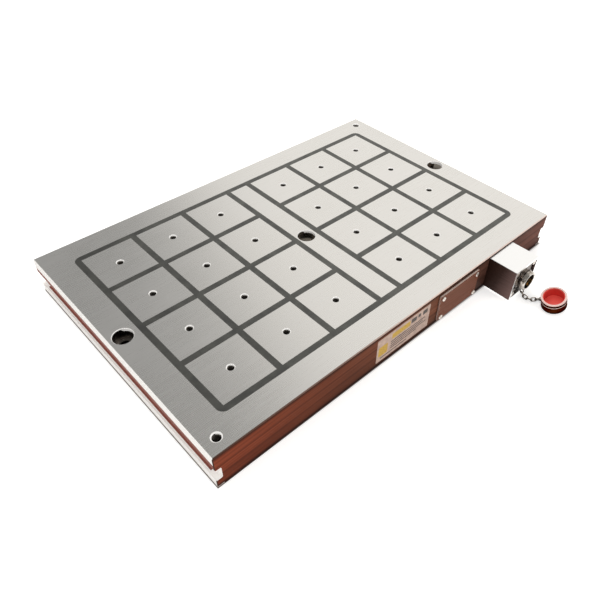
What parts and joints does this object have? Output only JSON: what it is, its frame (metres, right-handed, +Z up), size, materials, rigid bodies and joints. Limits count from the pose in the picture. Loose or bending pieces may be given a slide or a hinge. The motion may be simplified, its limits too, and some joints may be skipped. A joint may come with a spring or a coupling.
{
  "type": "electro-permanent magnetic chuck",
  "caption": "Flat steel electro-permanent magnetic chuck with square poles, clamping slots, a side connector box with a socket and a dust cap on a chain.",
  "frame": {"origin": "centre of the underside, on the axis of the middle fixing hole", "axes": "+X along the long side, +Y from the connector side to the back, +Z up out of the working face"},
  "size_m": [0.6, 0.5079, 0.054],
  "materials": {
    "block_steel": "machined, ground on top",
    "pole_steel": "ground",
    "resin": "flush ground resin",
    "magnet_alloy": "cast",
    "side_magnet": "nickel plated",
    "copper": "enamelled wire",
    "former_plastic": "moulded",
    "black_steel": "blackened",
    "cover_steel": "satin",
    "black_rubber": "matte",
    "bright_steel": "plated",
    "black_plastic": "moulded",
    "brass": "plated",
    "lead_rubber": "smooth",
    "box_steel": "satin",
    "socket_metal": "satin",
    "cap_metal": "turned",
    "red_rubber": "smooth"
  },
  "bodies": {
    "root": {"chuck_body": "block_steel", "centre_bar": "pole_steel", "resin_fill": "resin", "reversible_magnets": "magnet_alloy", "coil_windings": "copper", "coil_formers": "former_plastic", "side_magnets_x": "side_magnet", "side_magnets_y": "side_magnet", "pole_screws": "black_steel", "bar_screws": "black_steel", "wiring_cover": "cover_steel", "cover_gasket": "black_rubber", "cover_screws": "bright_steel", "terminal_block": "black_plastic", "terminal_screws": "brass", "coil_leads": "lead_rubber", "supply_leads": "lead_rubber", "connector_box": "box_steel", "box_screws": "bright_steel", "socket_shell": "socket_metal", "socket_insert": "black_plastic", "contact_pins": "brass", "chain_ring": "bright_steel", "cap_ring": "bright_steel", "cap_shell": "cap_metal", "cap_liner": "red_rubber", "chain_link_1": "bright_steel", "chain_link_2": "bright_steel", "chain_link_3": "bright_steel", "chain_link_4": "bright_steel", "chain_link_5": "bright_steel", "chain_link_6": "bright_steel", "pole_1_1": "pole_steel", "pole_1_2": "pole_steel", "pole_1_3": "pole_steel", "pole_1_4": "pole_steel", "pole_2_1": "pole_steel", "pole_2_2": "pole_steel", "pole_2_3": "pole_steel", "pole_2_4": "pole_steel", "pole_3_1": "pole_steel", "pole_3_2": "pole_steel", "pole_3_3": "pole_steel", "pole_3_4": "pole_steel", "pole_4_1": "pole_steel", "pole_4_2": "pole_steel", "pole_4_3": "pole_steel", "pole_4_4": "pole_steel", "pole_5_1": "pole_steel", "pole_5_2": "pole_steel", "pole_5_3": "pole_steel", "pole_5_4": "pole_steel", "pole_6_1": "pole_steel", "pole_6_2": "pole_steel", "pole_6_3": "pole_steel", "pole_6_4": "pole_steel"}
  },
  "joints": []
}
